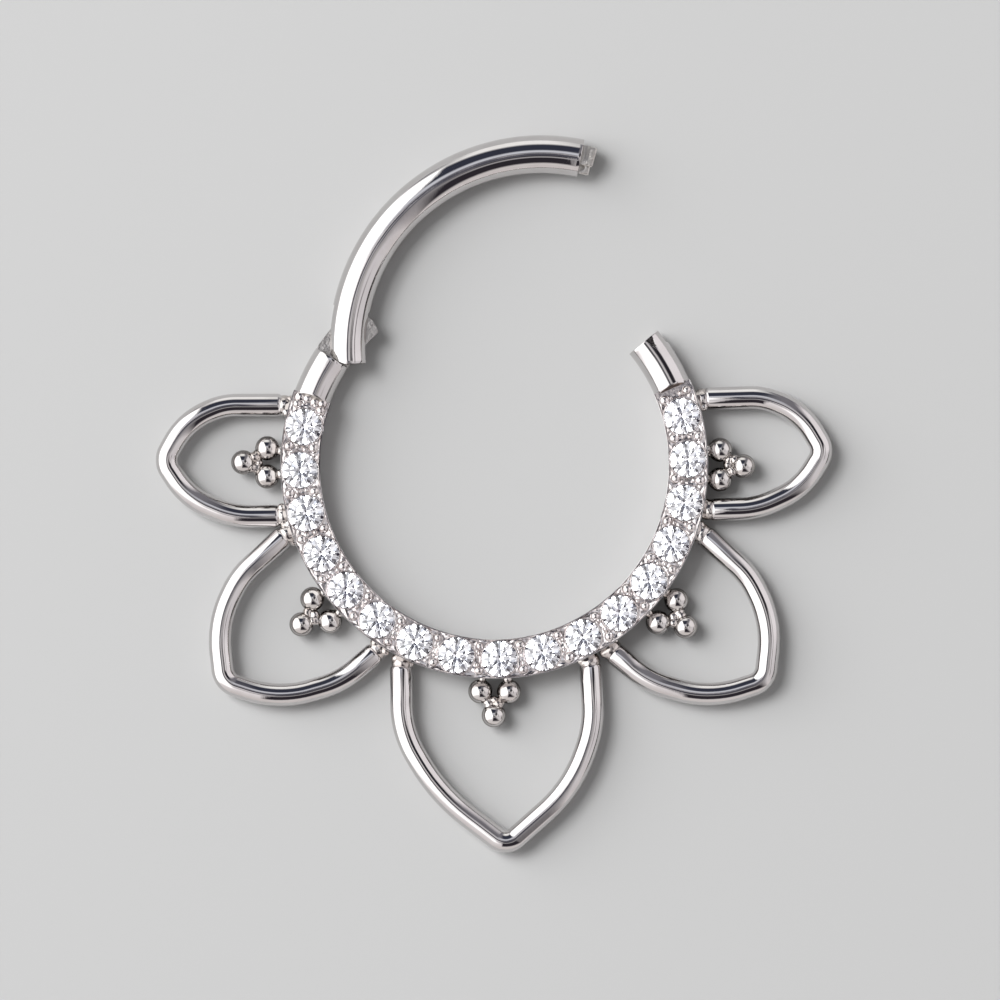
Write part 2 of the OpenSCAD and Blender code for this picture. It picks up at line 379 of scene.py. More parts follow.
class Maker:
    """A mesh in the making, in millimetres."""

    def __init__(self, name: str, *finishes: MetalFinish) -> None:
        """Takes the piece's name and its finishes, in the order of their material indices."""
        self.name = name
        self.finishes = finishes
        self.bm: BMesh = bmesh.new()

    def extrude(self, ring: list[BMEdge]) -> Ring:
        """Extrudes a loop of edges in place and returns the new loop."""
        made = bmesh.ops.extrude_edge_only(self.bm, edges=ring)["geom"]
        verts = verts_in(made)
        near = set(verts)
        return verts, [e for e in edges_at(verts) if near.issuperset(e.verts)]

    def face_out(self) -> None:
        """Turns all the faces outwards."""
        bmesh.ops.recalc_face_normals(self.bm, faces=self.bm.faces)

    def spin(
        self, geom: list, angle: float, steps: int, centre: Vector = ORIGIN, merge: bool = False
    ) -> list:
        """Turns geometry about an upright axis and leaves a surface behind it.

        Args:
            geom: What is turned.
            angle: How far it goes, in degrees.
            steps: In how many steps.
            centre: Where the axis stands.
            merge: True to join the end to the start.

        Returns:
            The geometry at the end of the turn.
        """
        return bmesh.ops.spin(
            self.bm, geom=geom, cent=centre, axis=UP, dvec=(0, 0, 0), angle=math.radians(angle),
            steps=steps, use_merge=merge, use_normal_flip=False, use_duplicate=False,
        )["geom_last"]

    def bevel(self, edges: Iterable[BMEdge], offset: float, segments: int) -> None:
        """Rounds edges."""
        bmesh.ops.bevel(
            self.bm, geom=list(edges), offset=offset, offset_type="OFFSET", segments=segments,
            profile=0.5, affect="EDGES", clamp_overlap=True, material=-1,
        )

    def smooth(self, angle: float = 32.0) -> None:
        """Shades the mesh smooth, with edges sharper than an angle in degrees kept crisp."""
        limit = math.radians(angle)
        for f in self.bm.faces:
            f.smooth = True
        for e in self.bm.edges:
            if len(e.link_faces) == 2:
                e.smooth = e.calc_face_angle(0.0) < limit

    def run_together(self, voxel: float, rounds: int) -> None:
        """Melts overlapping closed shapes into one smooth skin.

        Args:
            voxel: The size of the skin's faces.
            rounds: How often the skin is smoothed.
        """
        mesh = bpy.data.meshes.new("melt")
        self.bm.to_mesh(mesh)
        melt = add_object("melt", mesh)
        skin = melt.modifiers.new("skin", "REMESH")
        skin.mode = "VOXEL"
        skin.voxel_size = voxel
        pull = melt.modifiers.new("pull", "SMOOTH")
        pull.factor = 0.5
        pull.iterations = rounds
        graph = bpy.context.evaluated_depsgraph_get()
        done = bpy.data.meshes.new_from_object(melt.evaluated_get(graph))
        self.bm.clear()
        self.bm.from_mesh(done)
        bpy.data.objects.remove(melt)
        for used in (mesh, done):
            bpy.data.meshes.remove(used)

    def finish(
        self, body: Body = Body.RING, slot: Slot = Slot.METAL, stands_for: str = "ring_frame"
    ) -> None:
        """Args:
            body: The body that the piece rides on.
            slot: The record's material slot; not used.
            stands_for: The node that the piece replaces.
        """
        bmesh.ops.scale(self.bm, vec=(METRES,) * 3, verts=self.bm.verts)
        mesh = bpy.data.meshes.new(self.name)
        self.bm.to_mesh(mesh)
        self.bm.free()
        for one in self.finishes:
            mesh.materials.append(one.material())
        made = add_object(self.name, mesh)
        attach(made, body.value)
        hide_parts(stands_for)
        LOG.info("%s: %d faces on %s", self.name, len(mesh.polygons), body.value)


@dataclass
class RoundWire:
    """A round wire swept in the plane of the ring, along straights and bends."""

    radius: float
    sides: int = 32
    edge: float = 0.13
    bend_step: float = 4.0

    def edge_steps(self) -> list[Pair]:
        """Returns how far along and how far out each ring of the rounded end lies, from 0 to 1."""
        turns = [math.radians(22.5 * k) for k in range(1, 5)]
        return [(1 - math.cos(a), math.sin(a)) for a in turns]

    def ring(self, maker: Maker, edges: list[BMEdge], at: Vector, radius: float) -> Ring:
        """Extrudes the wire's last ring.

        Args:
            maker: The mesh to add to.
            edges: The last ring's edges.
            at: The new ring's middle.
            radius: The new ring's radius.

        Returns:
            The vertices and edges of the new ring.
        """
        verts, edges = maker.extrude(edges)
        here = sum((v.co for v in verts), Vector()) / len(verts)
        grow = radius / (verts[0].co - here).length
        space = Matrix.Translation(-here)
        bmesh.ops.scale(maker.bm, vec=(grow,) * 3, space=space, verts=verts)
        bmesh.ops.translate(maker.bm, vec=at - here, verts=verts)
        return verts, edges

    def begin(self, maker: Maker, at: Vector, heading: float) -> Ring:
        """Makes the wire's flat start, with its rounded edge.

        Args:
            maker: The mesh to add to.
            at: The middle of the start.
            heading: The direction in degrees in which the wire leaves.

        Returns:
            The vertices and edges of the first full ring.
        """
        place = Matrix.Translation(at) @ turn_z(heading) @ Matrix.Rotation(math.pi / 2, 4, "Y")
        verts = bmesh.ops.create_circle(
            maker.bm, cap_ends=True, radius=self.radius - self.edge, segments=self.sides,
            matrix=place,
        )["verts"]
        near = set(verts)
        edges = [e for e in edges_at(verts) if near.issuperset(e.verts)]
        ahead = polar(self.edge, heading)
        for along, out in self.edge_steps():
            radius = self.radius - self.edge * (1 - out)
            verts, edges = self.ring(maker, edges, at + ahead * along, radius)
        return verts, edges

    def end(self, maker: Maker, edges: list[BMEdge], at: Vector, heading: float) -> None:
        """Closes the wire with a flat end and a rounded edge."""
        ahead = polar(self.edge, heading)
        for back, out in [*reversed(self.edge_steps()), (0.0, 0.0)]:
            radius = self.radius - self.edge * (1 - out)
            _, edges = self.ring(maker, edges, at - ahead * back, radius)
        bmesh.ops.edgeloop_fill(maker.bm, edges=edges)

    def along(self, maker: Maker, path: list[Triple], z: float) -> None:
        """Sweeps the wire along a polyline with rounded corners.

        Args:
            maker: The mesh to add to.
            path: Corners, each with its x, y and bend radius.
            z: The height of the wire's middle.
        """
        points = [Vector((x, y, z)) for x, y, _ in path]
        legs = [b - a for a, b in zip(points, points[1:])]
        headings = [angle_of(leg) for leg in legs]
        verts, edges = self.begin(maker, points[0], headings[0])
        for i in range(1, len(points) - 1):
            turn = (headings[i] - headings[i - 1] + 180.0) % 360.0 - 180.0
            bend = path[i][2]
            trim = bend * math.tan(math.radians(abs(turn)) / 2)
            start = points[i] - legs[i - 1].normalized() * trim
            verts, edges = self.ring(maker, edges, start, self.radius)
            side = math.copysign(90.0, turn)
            centre = start + polar(bend, headings[i - 1] + side)
            steps = max(4, round(abs(turn) / self.bend_step))
            last = maker.spin(verts + edges, turn, steps, centre)
            verts = verts_in(last)
            edges = [e for e in last if isinstance(e, BMEdge)]
        self.end(maker, edges, points[-1], headings[-1])


DROP_SQUASH = (0.88, 1.1)


def lumps(maker: Maker, spots: Drops, chance: random.Random) -> None:
    """Adds small uneven drops of metal.

    Args:
        maker: The mesh to add to.
        spots: Middle and radius of each drop.
        chance: The source of their unevenness.
    """
    for at, radius in spots:
        tilt = Matrix.Rotation(chance.uniform(0, math.tau), 4, Vector((chance.random(), 0.3, 1.0)))
        x, y = (chance.uniform(*DROP_SQUASH) for _ in range(2))
        squash = Matrix.Diagonal((x, y, 1.0, 1.0))
        bmesh.ops.create_icosphere(
            maker.bm, subdivisions=3, radius=radius, matrix=Matrix.Translation(at) @ tilt @ squash
        )


# ---------------------------------------------------------------- the pavé band


@dataclass
class PaveBand:
    """The band with its channel, the stones' seats and collars and the grain beads."""

    mid_r: float = 6.1
    width: float = 1.24
    rim_w: float = 0.04
    rim_top: float = 1.08
    rim_edge: float = 0.012
    floor_z: float = 1.02
    floor_rough: Pair = (-0.012, 0.022)
    back_round: float = 0.3
    half_span: float = 112.1
    lap: float = 0.1
    pitch: float = 12.86
    stones: int = 17
    seat_r: float = 0.566
    seat_step: float = 0.03
    seat_step_z: float = 0.98
    seat_bottom_r: float = 0.05
    seat_bottom_z: float = 0.54
    middle: float = -90.0
    side_steps: int = 12
    end_steps: int = 4
    bead_r: float = 0.15
    bead_spread: Pair = (0.88, 1.14)
    bead_slide: float = 0.6
    bead_offset: float = 0.385
    bead_rise: float = 0.02
    burr_offset: Pair = (0.08, 0.22)
    burr_r: Pair = (0.07, 0.1)
    burr_slide: float = 0.7
    burr_rise: float = -0.01
    lump_rows: tuple[float, ...] = (-0.37, -0.13, 0.12, 0.37)
    lump_z: float = 0.92
    lump_r: Pair = (0.18, 0.2)
    lump_slide: Pair = (0.7, 1.2)
    collar_r: float = 0.583
    collar_t: float = 0.018
    collar_rise: float = 0.035
    collar_stretch: float = 1.8
    weld: float = 0.0008
    channel_z: float = 0.5
    channel_gap: float = 0.002
    smooth_below: float = 0.97
    chance: random.Random = field(default_factory=lambda: random.Random(17))

    def tile(self, maker: Maker, angle: float) -> None:
        """Makes the piece of channel floor round one stone, with the stone's seat.

        Args:
            maker: The mesh to add to.
            angle: Where the stone is, from the band's middle.
        """
        bm = maker.bm
        steps = self.side_steps
        half = self.width / 2 - self.rim_w
        outer = bmesh.ops.create_circle(bm, cap_ends=False, radius=1.0, segments=4 * steps)["verts"]
        for k, v in enumerate(outer):
            side, step = divmod(k, steps)
            f = 2 * step / steps - 1
            s, t = ((f, -1.0), (1.0, f), (-f, 1.0), (-1.0, -f))[side]
            at = self.middle + angle + s * self.pitch / 2
            v.co = polar(self.mid_r + t * half, at, self.floor_z)
        place = turn_z(self.middle + angle) @ Matrix.Translation((self.mid_r, 0, self.floor_z))
        inner = bmesh.ops.create_circle(
            bm, cap_ends=False, radius=self.seat_r, segments=4 * steps, matrix=place
        )["verts"]
        ring = edges_at(inner)
        floor = bmesh.ops.bridge_loops(bm, edges=edges_at(outer) + ring)
        centre = place @ Vector()
        rows = (
            (self.seat_step_z, self.seat_r - self.seat_step),
            (self.seat_bottom_z, self.seat_bottom_r),
        )
        for z, radius in rows:
            verts, ring = maker.extrude(ring)
            grow = radius / (verts[0].co.xy - centre.xy).length
            space = Matrix.Translation(-centre)
            bmesh.ops.scale(bm, vec=(grow, grow, 1), space=space, verts=verts)
            bmesh.ops.translate(bm, vec=(0, 0, z - verts[0].co.z), verts=verts)
        bmesh.ops.edgeloop_fill(bm, edges=ring)
        grid = bmesh.ops.subdivide_edges(bm, edges=floor["edges"], cuts=2, use_grid_fill=True)
        for v in verts_in(grid["geom_inner"]):
            v.co.z += self.chance.uniform(*self.floor_rough)

    def sweep(
        self, maker: Maker, line: list[Pair], at: float, angle: float, steps: int
    ) -> None:
        """Turns an open line about the ring's axis.

        Args:
            maker: The mesh to add to.
            line: Its points, each with its place across the band and its height.
            at: Where it starts.
            angle: How far it goes.
            steps: In how many steps.
        """
        verts = [maker.bm.verts.new(polar(self.mid_r + x, at, z)) for x, z in line]
        edges = [maker.bm.edges.new(pair) for pair in zip(verts, verts[1:])]
        maker.spin(verts + edges, angle, steps)

    def body(self, maker: Maker) -> None:
        """Makes the band's back, sides and rims, and the plain floor beside the last stones."""
        half = self.width / 2
        inner = half - self.rim_w
        flat = half - self.back_round
        edge = self.rim_edge
        outline = [
            (-inner, self.floor_z), (-inner, self.rim_top - edge), (-inner - edge, self.rim_top),
            (-half + edge, self.rim_top), (-half, self.rim_top - edge), (-half, self.back_round),
        ]
        for k in range(1, 7):
            a = math.radians(180 + 15 * k)
            back = self.back_round
            outline.append((-flat + back * math.cos(a), back * (1 + math.sin(a))))
        outline += [(-x, z) for x, z in reversed(outline)]
        across = [2 * k / self.side_steps - 1 for k in range(self.side_steps + 1)]
        floor = [(inner * x, self.floor_z) for x in across]
        tiles = self.stones * self.pitch / 2
        end = self.half_span + self.lap - tiles
        self.sweep(maker, outline, self.middle - tiles - end, end, self.end_steps)
        self.sweep(maker, floor, self.middle - tiles - end, end, self.end_steps)
        self.sweep(maker, outline, self.middle - tiles, 2 * tiles, self.stones * self.side_steps)
        self.sweep(maker, outline, self.middle + tiles, end, self.end_steps)
        self.sweep(maker, floor, self.middle + tiles, end, self.end_steps)

    def collar(self, maker: Maker, angle: float) -> None:
        """Adds the thin raised edge that is pushed up round a stone."""
        z = self.floor_z + self.collar_rise
        place = turn_z(self.middle + angle) @ Matrix.Translation((self.mid_r, 0, z))
        ring = bmesh.ops.create_circle(
            maker.bm, cap_ends=False, radius=self.collar_t, segments=8,
            matrix=place @ Matrix.Translation((self.collar_r, 0, 0)) @ UPRIGHT,
        )["verts"]
        for v in ring:
            v.co.z = z + (v.co.z - z) * self.collar_stretch
        maker.spin(ring + edges_at(ring), 360.0, 56, place @ Vector(), merge=True)

    def beads(self) -> Drops:
        """Returns the grain beads, the burrs beside them and the lumps at the hinge's end."""
        draw = self.chance.uniform
        spots = []
        for k in range(self.stones + 1):
            angle = self.middle + (k - self.stones / 2) * self.pitch
            for side in (-1, 1):
                size = self.bead_r * draw(*self.bead_spread)
                slid = angle + draw(-self.bead_slide, self.bead_slide)
                r = self.mid_r + side * self.bead_offset
                spots.append((polar(r, slid, self.floor_z + self.bead_rise), size))
                r = self.mid_r + side * draw(*self.burr_offset)
                slid = angle + draw(-self.burr_slide, self.burr_slide)
                burr = polar(r, slid, self.floor_z + self.burr_rise)
                spots.append((burr, draw(*self.burr_r)))
        for across in self.lump_rows:
            angle = self.middle - self.half_span + draw(*self.lump_slide)
            spots.append((polar(self.mid_r + across, angle, self.lump_z), draw(*self.lump_r)))
        return spots

    def build(self) -> None:
        """Builds the band and its beads as two pieces."""
        maker = Maker("pave_band", MIRROR, CUT_METAL)
        angles = [(k - (self.stones - 1) / 2) * self.pitch for k in range(self.stones)]
        for angle in angles:
            self.tile(maker, angle)
        self.body(maker)
        bm = maker.bm
        bmesh.ops.remove_doubles(bm, verts=bm.verts, dist=self.weld)
        bmesh.ops.holes_fill(bm, edges=[e for e in bm.edges if e.is_boundary], sides=0)
        maker.face_out()
        maker.smooth(30.0)
        channel = self.width / 2 - self.rim_w - self.channel_gap
        for f in bm.faces:
            middle = f.calc_center_median()
            if abs(middle.xy.length - self.mid_r) < channel and middle.z > self.channel_z:
                f.material_index = 1
                f.smooth = middle.z < self.smooth_below
        maker.finish()
        grains = Maker("grain_beads", GRAIN)
        lumps(grains, self.beads(), self.chance)
        for angle in angles:
            self.collar(grains, angle)
        grains.face_out()
        grains.smooth(180.0)
        grains.finish()


# ---------------------------------------------------------------- stubs, gate and hinge


@dataclass
class RingWire:
    """What the stubs and the gate share: the round wire, the hinge's place and the cuts."""

    mid_r: float = 6.1
    radius: float = 0.6
    z: float = 0.62
    sides: int = 64
    step: float = 1.0
    hinge_cut: float = 145.0
    catch_cut: float = 37.8
    pivot_angle: float = 137.0
    pivot_r: float = 6.0
    open_angle: float = 38.6
    gap: float = 0.04
    sharp: float = 0.9
    end_facing: float = 0.75
    dark_span: float = 4.0
    weld_gap: float = 0.0005

    @property
    def pivot(self) -> Vector:
        """The hinge pin's axis."""
        return polar(self.pivot_r, self.pivot_angle)

    def degrees(self, length: float) -> float:
        """Returns the angle that a length takes along the wire's middle."""
        return math.degrees(length / self.mid_r)

    def ring(self, at: float) -> list[Vector]:
        """Returns the points of the wire's circle at an angle, from outwards on."""
        turns = [math.tau * k / self.sides for k in range(self.sides)]
        r, z = self.radius, self.z
        return [polar(self.mid_r + r * math.cos(a), at, z + r * math.sin(a)) for a in turns]

    def arc(self, maker: Maker, start: float, angle: float) -> list[list[BMVert]]:
        """Turns the wire's circle about the ring's axis.

        Args:
            maker: The mesh to add to.
            start: Where the arc starts.
            angle: How far it goes.

        Returns:
            The rings of vertices from start to end, each from outwards on.
        """
        place = turn_z(start) @ Matrix.Translation((self.mid_r, 0, self.z))
        verts = bmesh.ops.create_circle(
            maker.bm, cap_ends=False, radius=self.radius, segments=self.sides,
            matrix=place @ UPRIGHT,
        )["verts"]
        steps = max(2, round(abs(angle) / self.step))
        maker.spin(verts + edges_at(verts), angle, steps)
        rings = [self.ring(start + angle * i / steps) for i in range(steps + 1)]
        return self.match(maker.bm, rings)

    @staticmethod
    def match(bm: BMesh, rings: list[list[Vector]]) -> list[list[BMVert]]:
        """Returns the mesh's vertices that lie at the given points."""
        found: dict[tuple[float, ...], BMVert] = {}
        for v in bm.verts:
            found.setdefault(tuple(round(c, 3) for c in v.co), v)

        def at(point: Vector) -> BMVert:
            """Returns the vertex at a point, or else the nearest one."""
            exact = found.get(tuple(round(c, 3) for c in point))
            if exact is not None:
                return exact
            return min(bm.verts, key=lambda v: (v.co - point).length_squared)

        return [[at(point) for point in ring] for ring in rings]

    def weld(self, maker: Maker, rings: list[list[BMVert]]) -> list[list[BMVert]]:
        """Joins the arcs where they meet and returns the rings in the joined mesh."""
        points = [[v.co.copy() for v in ring] for ring in rings]
        bmesh.ops.remove_doubles(maker.bm, verts=maker.bm.verts, dist=self.weld_gap)
        return self.match(maker.bm, points)

    @staticmethod
    def lines(rings: list[list[BMVert]], k: int) -> list[BMEdge]:
        """Returns the edges that run along the wire at vertex k of each ring."""
        out = []
        for a, b in zip(rings, rings[1:]):
            out.append(next(e for e in a[k].link_edges if e.other_vert(a[k]) is b[k]))
        return out

    @staticmethod
    def clear(maker: Maker, rings: list[list[BMVert]], low: int, high: int) -> None:
        """Deletes the faces of some rings between two vertices' numbers."""
        count = len(rings[0])
        doomed: list[BMFace] = []
        for a, b in zip(rings, rings[1:]):
            for k in range(low, high):
                corners = {a[k % count], a[(k + 1) % count], b[k % count], b[(k + 1) % count]}
                doomed += [f for f in a[k % count].link_faces if set(f.verts) == corners]
        bmesh.ops.delete(maker.bm, geom=doomed, context="FACES")

    def close(self, maker: Maker, bevel: float = 0.02) -> None:
        """Fills the open ends, turns the faces outwards and rounds the ends' edges."""
        bm = maker.bm
        loose = [v for v in bm.verts if not v.link_faces]
        bmesh.ops.delete(bm, geom=loose, context="VERTS")
        open_edges = [e for e in bm.edges if e.is_boundary]
        filled = bmesh.ops.holes_fill(bm, edges=open_edges, sides=0)["faces"]
        maker.face_out()
        rims = dict.fromkeys(
            e for f in filled for e in f.edges
            if len(e.link_faces) == 2 and e.calc_face_angle(0.0) > self.sharp
        )
        maker.bevel(rims, bevel, 2)
        bmesh.ops.triangulate(bm, faces=[f for f in bm.faces if len(f.verts) > 6])

    def mark_ends(self, maker: Maker, dark_end: float = math.inf) -> None:
        """Gives the faces across the wire their finish.

        Args:
            maker: The mesh, whose second finish is for the ends.
            dark_end: The angle of an end that has the third finish, with painted shade.
        """
        maker.bm.normal_update()
        for f in maker.bm.faces:
            middle = f.calc_center_median()
            if abs(f.normal.dot(tangent(middle))) > self.end_facing:
                # the end at dark_end gets the finish with painted shade
                dark = abs(angle_of(middle) - dark_end) < self.dark_span
                f.material_index = 2 if dark else 1


@dataclass
class Stubs:
    """The two plain ends of the ring's body, with the hinge's tongue and the catch's slot."""

    wire: RingWire
    gem_half_span: float = 112.1
    end_lean: float = 0.5
    end_z: float = 1.12
    slot_depth: float = 0.43
    slot_inner_r: float = 5.6
    slot_k: int = 4
    tongue_r: float = 0.88
    tongue_t: float = 0.4
    tongue_reach: float = 0.4
    tongue_in: float = 0.57
    tongue_out: float = 0.585
    tongue_sides: int = 96
    tongue_core: float = 0.3
    # sharpness of the edges in radians, width and segments, upright edges first
    tongue_bevels: tuple[tuple[float, float, int], ...] = ((0.35, 0.1, 5), (1.2, 0.03, 2))
    notch_l: float = 0.4
    notch_w: float = 0.26
    notch_offset: float = 0.17
    notch_depth: float = 0.12
    notch_fade: float = 0.22
    notch_zone: Pair = (-0.05, 0.45)
    notch_margin: float = 0.1
    notch_floor: float = 0.3
    notch_slope: float = 2.5
    notch_run: float = 2.0
    notch_cuts: int = 3
    notch_lip: float = 0.05
    same_r: float = 1e-4

    def slanted_end(self, maker: Maker, ring: list[BMVert], away: float) -> None:
        """Leans a stub's end over the channel, with its front edge back from the stones."""
        for v in ring:
            back = self.end_lean * (max(v.co.z, self.wire.z) - self.end_z)
            turn = Matrix.Rotation(math.radians(away * self.wire.degrees(back)), 3, "Z")
            bmesh.ops.rotate(maker.bm, cent=(0, 0, 0), verts=[v], matrix=turn)

    def hinge_side(self) -> None:
        """Builds the stub on the hinge side and its tongue."""
        w = self.wire
        maker = Maker("hinge_stub", MIRROR, MACHINED, TONGUE_SHADE)
        far = 270.0 - self.gem_half_span
        rings = w.arc(maker, w.hinge_cut, far - w.hinge_cut)
        self.slanted_end(maker, rings[-1], -1.0)
        w.close(maker)
        w.mark_ends(maker)
        self.tongue(maker)
        maker.smooth()
        maker.finish()

    def tongue(self, maker: Maker) -> None:
        """Adds the flat tongue that the gate's ears straddle, round about the pin."""
        w = self.wire
        bm = maker.bm
        place = Matrix.Translation(w.pivot + UP * (w.z - self.tongue_t / 2))
        verts = bmesh.ops.create_circle(
            bm, cap_ends=True, radius=self.tongue_r, segments=self.tongue_sides, matrix=place
        )["verts"]
        to_stub = polar(1.0, w.pivot_angle + 90)
        for v in verts:
            along = (v.co - w.pivot).dot(to_stub)
            if along > 0:
                v.co += to_stub * along * self.tongue_reach
            flat = v.co.xy.length
            kept = min(max(flat, w.mid_r - self.tongue_in), w.mid_r + self.tongue_out)
            v.co.x *= kept / flat
            v.co.y *= kept / flat
        top = bmesh.ops.extrude_face_region(bm, geom=[verts[0].link_faces[0]])["geom"]
        bmesh.ops.translate(bm, vec=(0, 0, self.tongue_t), verts=verts_in(top))
        core = w.pivot + polar(self.tongue_core, 0, w.z)

        def own_faces() -> list[BMFace]:
            """Returns the tongue's faces."""
            seed = min(bm.verts, key=lambda v: (v.co - core).length_squared)
            return self.island(seed)

        tall = 0.75 * self.tongue_t
        for i, (sharp, offset, segments) in enumerate(self.tongue_bevels):
            faces = own_faces()
            bmesh.ops.recalc_face_normals(bm, faces=faces)
            chosen = []
            for e in dict.fromkeys(e for f in faces for e in f.edges):
                upright = abs(e.verts[0].co.z - e.verts[1].co.z) > tall
                if e.calc_face_angle(0.0) > sharp and upright == (i == 0):
                    chosen.append(e)
            maker.bevel(chosen, offset, segments)
        # the tongue gets the steel with painted shade
        for f in own_faces():
            f.material_index = 2

    @staticmethod
    def island(seed: BMVert) -> list[BMFace]:
        """Returns all the faces that hang together with a vertex."""
        found: dict[BMFace, None] = {}
        fresh = dict.fromkeys(seed.link_faces)
        while fresh:
            found |= fresh
            beside = (g for f in fresh for e in f.edges for g in e.link_faces)
            fresh = dict.fromkeys(g for g in beside if g not in found)
        return list(found)

    def catch_side(self) -> None:
        """Builds the stub on the catch side and its slot."""
        w = self.wire
        maker = Maker("catch_stub", MIRROR, MACHINED, END_FACE_SHADE, NOTCH_SHADE)
        start = self.gem_half_span - 90.0
        slot = w.degrees(self.slot_depth)
        plain = w.catch_cut - slot - start
        first = w.arc(maker, start, plain)[0]
        first, *deep = w.weld(maker, [first, *w.arc(maker, start + plain, slot)])
        w.clear(maker, deep, -self.slot_k, self.slot_k)
        rims = []
        for k in (self.slot_k, w.sides - self.slot_k):
            verts, edges = maker.extrude(w.lines(deep, k))
            for v in verts:
                scale = self.slot_inner_r / v.co.xy.length
                v.co.x *= scale
                v.co.y *= scale
            for e in edges:
                a, b = (v.co.xy.length for v in e.verts)
                if abs(a - b) < self.same_r:
                    rims.append(e)
        bmesh.ops.bridge_loops(maker.bm, edges=rims)
        self.slanted_end(maker, first, 1.0)
        w.close(maker, 0.015)
        w.mark_ends(maker, start)
        self.notch(maker)
        maker.smooth()
        maker.finish()

    def notch(self, maker: Maker) -> None:
        """Presses the small tapering notch into the top of the catch side's cut end."""
        w = self.wire
        bm = maker.bm

        def place(at: Vector) -> Triple:
            """Returns the offset from the wire's middle, the way back and the taper."""
            back = math.radians(w.catch_cut - angle_of(at)) * w.mid_r
            return at.xy.length - w.mid_r, back, 1 - back / self.notch_l

        floor = w.z + self.notch_floor
        low, high = self.notch_zone
        near = []
        for f in bm.faces:
            middle = f.calc_center_median()
            offset, back, _ = place(middle)
            close = low < offset < high and back < self.notch_l + self.notch_margin
            if middle.z > floor and close:
                near.append(f)
        edges = list(dict.fromkeys(e for f in near for e in f.edges))
        bmesh.ops.subdivide_edges(bm, edges=edges, cuts=self.notch_cuts, use_grid_fill=True)
        for v in bm.verts:
            offset, _, taper = place(v.co)
            if v.co.z < floor or taper <= 0:
                continue
            side = 1 - abs(offset - self.notch_offset) / (self.notch_w / 2 * taper)
            skin = 1 - (w.radius - math.hypot(offset, v.co.z - w.z)) / self.notch_fade
            if side > 0 and skin > 0:
                depth = self.notch_depth * min(1.0, self.notch_slope * side)
                v.co.z -= depth * min(1.0, self.notch_run * taper) * min(1.0, skin)
        bm.normal_update()
        # the notch's faces get the finish with painted shade
        for f in bm.faces:
            middle = f.calc_center_median()
            offset, _, taper = place(middle)
            inside = abs(offset - self.notch_offset) < self.notch_w / 2 * taper
            if middle.z > floor - self.notch_lip and taper > 0 and inside:
                f.material_index = 3

    def build(self) -> None:
        """Builds both stubs."""
        self.hinge_side()
        self.catch_side()


@dataclass
class Gate:
    """The hinged gate: the round arc, its two ears and the click peg."""

    wire: RingWire
    slot_k: int = 4
    slot_from: float = 128.15
    ear_r: float = 0.813
    peg_length: float = 0.39
    peg_t: float = 0.42
    peg_low: float = -0.48
    peg_high: float = 0.42
    peg_root: float = 1.5
    peg_bevel: float = 0.06
    ear_from: float = 0.1
    step_w: float = 0.28
    step_lap: float = 0.08
    step_drop: float = 0.14
    step_reach: float = 0.85

    def ears(self, maker: Maker) -> None:
        """Cuts the slot between the ears and rounds their outer corner about the pin."""
        w = self.wire
        start = w.catch_cut + w.degrees(w.gap)
        end = w.hinge_cut - w.degrees(w.gap)
        w.arc(maker, start, self.slot_from - start)
        rings = w.weld(maker, w.arc(maker, self.slot_from, end - self.slot_from))
        half = w.sides // 2
        for low in (-self.slot_k, half - self.slot_k):
            w.clear(maker, rings, low, low + 2 * self.slot_k)
        for k in (self.slot_k, w.sides - self.slot_k):
            edges = w.lines(rings, k) + w.lines(rings, (half - k) % w.sides)
            bmesh.ops.bridge_loops(maker.bm, edges=edges)
        w.close(maker)
        to_stub = polar(1.0, w.hinge_cut + 90)
        outwards = polar(1.0, w.hinge_cut)
        for v in maker.bm.verts:
            arm = v.co - w.pivot
            arm.z = 0
            over = arm.length - self.ear_r
            if arm.dot(to_stub) > self.ear_from and arm.dot(outwards) > 0 and over > 0:
                v.co -= arm.normalized() * over

    def peg_block(self, maker: Maker, low: float, high: float, top: float, reach: float) -> None:
        """Adds one block of the peg.

        Args:
            maker: The mesh to add to.
            low: Its inner edge, from the wire's middle.
            high: Its outer edge.
            top: Its top, from the wire's middle.
            reach: How far it stands out of the gate's end.
        """
        w = self.wire
        bm = maker.bm
        bottom = -self.peg_t / 2
        start = w.catch_cut + self.peg_root
        corners = [(low, bottom), (high, bottom), (high, top), (low, top)]
        verts = [bm.verts.new(polar(w.mid_r + x, start, w.z + z)) for x, z in corners]
        face = bm.faces.new(verts)
        last = maker.spin([face], -(self.peg_root + w.degrees(reach)), 3)
        near = edges_at(v for f in last if isinstance(f, BMFace) for v in f.verts)
        faces = {f for e in near for f in e.link_faces} | {face}
        bmesh.ops.recalc_face_normals(bm, faces=[f for f in bm.faces if f in faces])
        maker.bevel(near, self.peg_bevel, 4)

    def build(self) -> None:
        """Builds the gate closed, then swings it to the photo's place."""
        w = self.wire
        maker = Maker("gate", MIRROR, MACHINED)
        self.ears(maker)
        w.mark_ends(maker)
        plain = set(maker.bm.faces)
        split = self.peg_low + self.step_w
        top = self.peg_t / 2
        self.peg_block(maker, split, self.peg_high, top, self.peg_length)
        step = (split + self.step_lap, top - self.step_drop, self.peg_length * self.step_reach)
        self.peg_block(maker, self.peg_low, *step)
        for f in set(maker.bm.faces) - plain:
            f.material_index = 1
        swing = Matrix.Rotation(math.radians(w.open_angle), 3, "Z")
        bmesh.ops.rotate(maker.bm, cent=w.pivot, matrix=swing, verts=maker.bm.verts)
        maker.smooth()
        maker.finish(Body.GATE, stands_for="hinged_gate")


# ---------------------------------------------------------------- petals and trefoils


